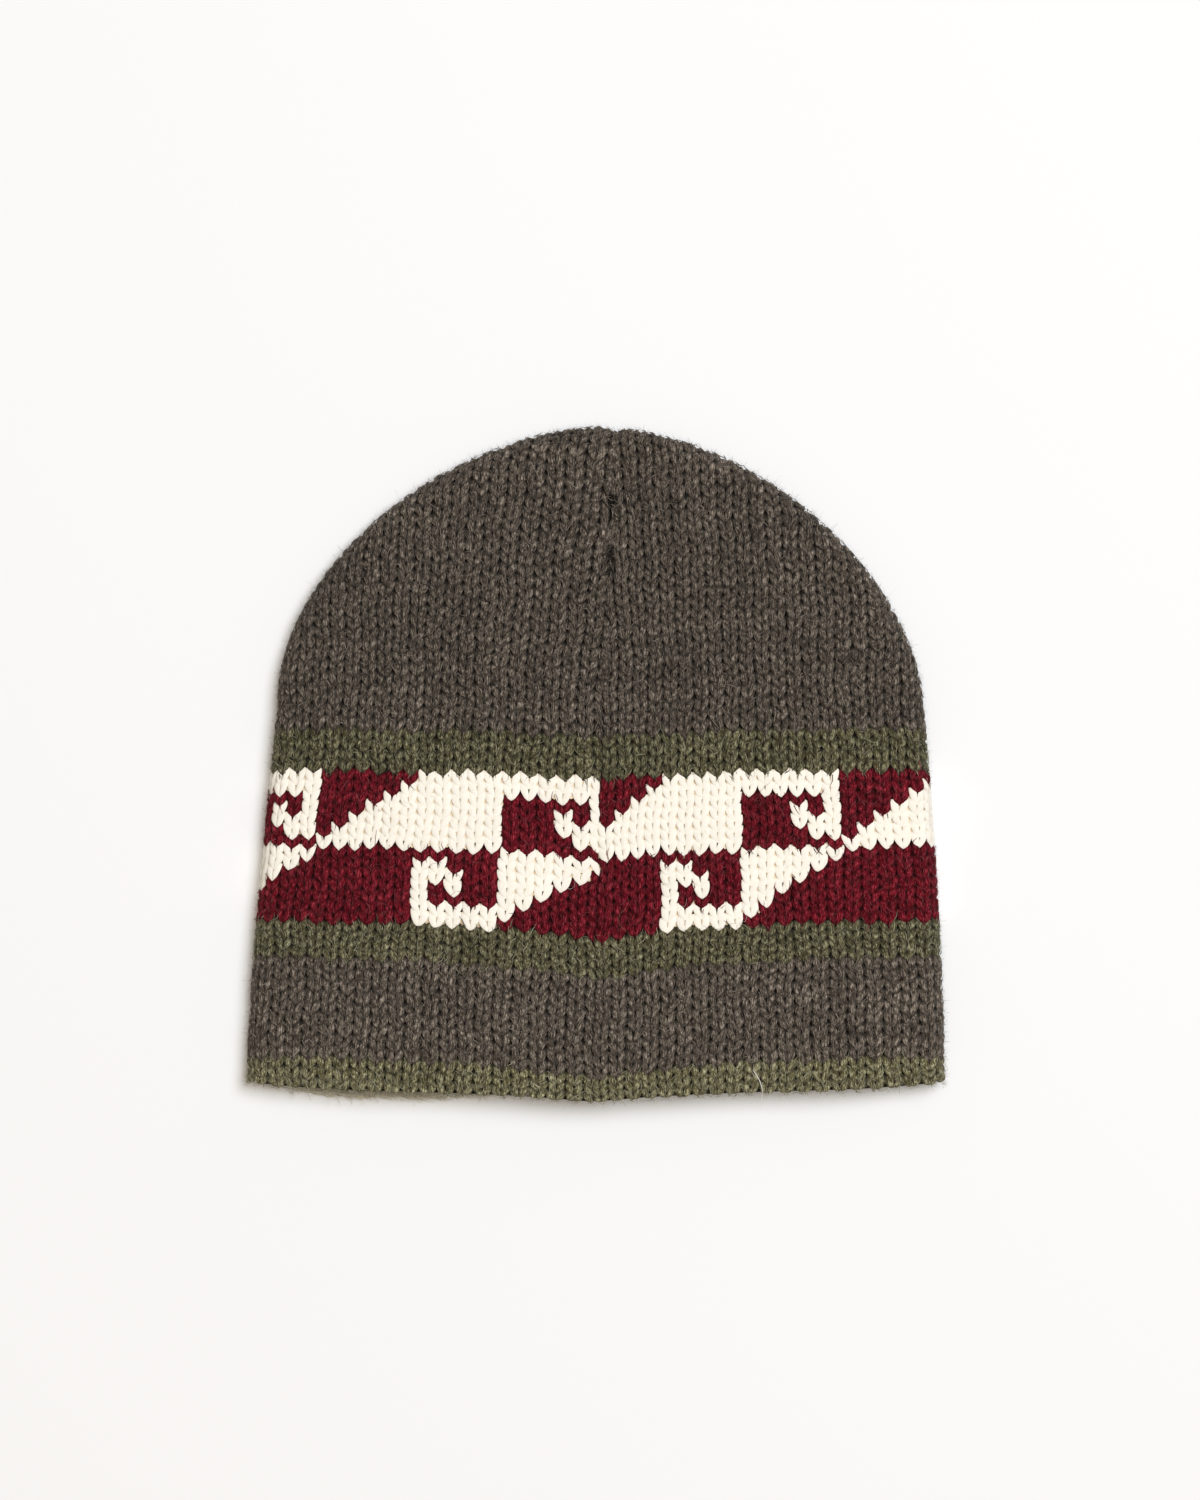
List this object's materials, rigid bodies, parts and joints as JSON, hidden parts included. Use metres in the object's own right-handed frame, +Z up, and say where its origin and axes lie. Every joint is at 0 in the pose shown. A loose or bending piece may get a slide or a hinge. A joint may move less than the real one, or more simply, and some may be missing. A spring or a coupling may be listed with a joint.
{
  "type": "knitted skullcap",
  "caption": "Close-fitting knitted wool skullcap with a domed crown, striped brim band and a stepped hook pattern band, lying flat with its back seam up.",
  "frame": {"origin": "on the surface that the cap lies on, under the middle of its bounding box", "axes": "+X across the cap to the right seen with the crown away, +Y from the brim's mouth to the crown, +Z up out of the back seam"},
  "size_m": [0.2218, 0.2148, 0.0161],
  "materials": {
    "olive_wool": "heathered olive wool, stocking stitch",
    "charcoal_wool": "heathered charcoal wool, stocking stitch",
    "burgundy_wool": "burgundy wool, stranded knitting",
    "cream_wool": "cream wool, stranded knitting"
  },
  "bodies": {
    "root": {"brim_edge": "olive_wool", "brim_band": "charcoal_wool", "lower_stripe": "olive_wool", "motif_band": "burgundy_wool", "upper_stripe": "olive_wool", "crown": "charcoal_wool"}
  },
  "joints": []
}
